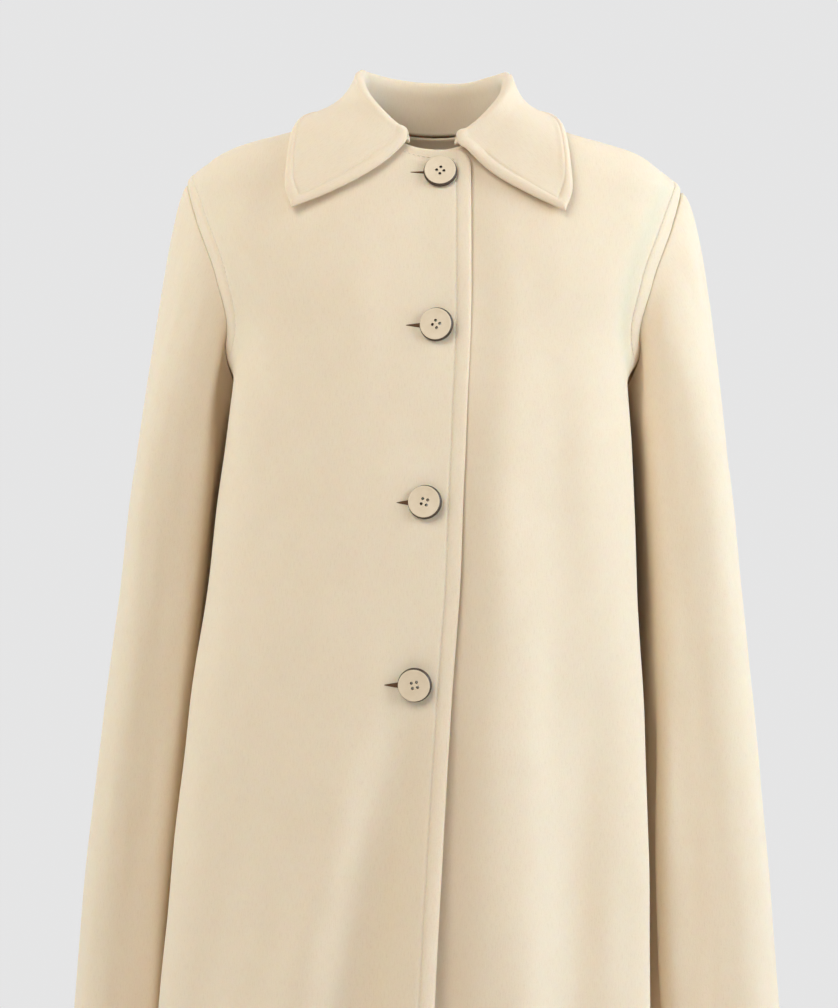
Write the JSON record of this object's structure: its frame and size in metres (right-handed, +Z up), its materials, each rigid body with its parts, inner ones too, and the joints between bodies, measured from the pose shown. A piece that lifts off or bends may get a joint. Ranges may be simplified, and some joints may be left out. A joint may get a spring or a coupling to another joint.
{
  "type": "wool coat",
  "caption": "Long A-line wool coat with a point collar, set-in sleeves and a buttoned single-breasted front, in a hollow worn shape.",
  "frame": {"origin": "midway between the two points where the shoulder seams meet the neck, where the shoulders carry the coat", "axes": "+Z up, the front faces -Y, +X is the wearer's left"},
  "size_m": [0.6035, 0.4537, 1.0609],
  "materials": {
    "wool": "matte felted wool with a short nap",
    "button": "satin face with a dark horn-brown edge"
  },
  "bodies": {
    "root": {"front_right": "wool", "front_left": "wool", "back": "wool", "sleeve_right": "wool", "sleeve_left": "wool", "collar": "wool", "button_1": "button", "button_2": "button", "button_3": "button", "button_4": "button"}
  },
  "joints": []
}
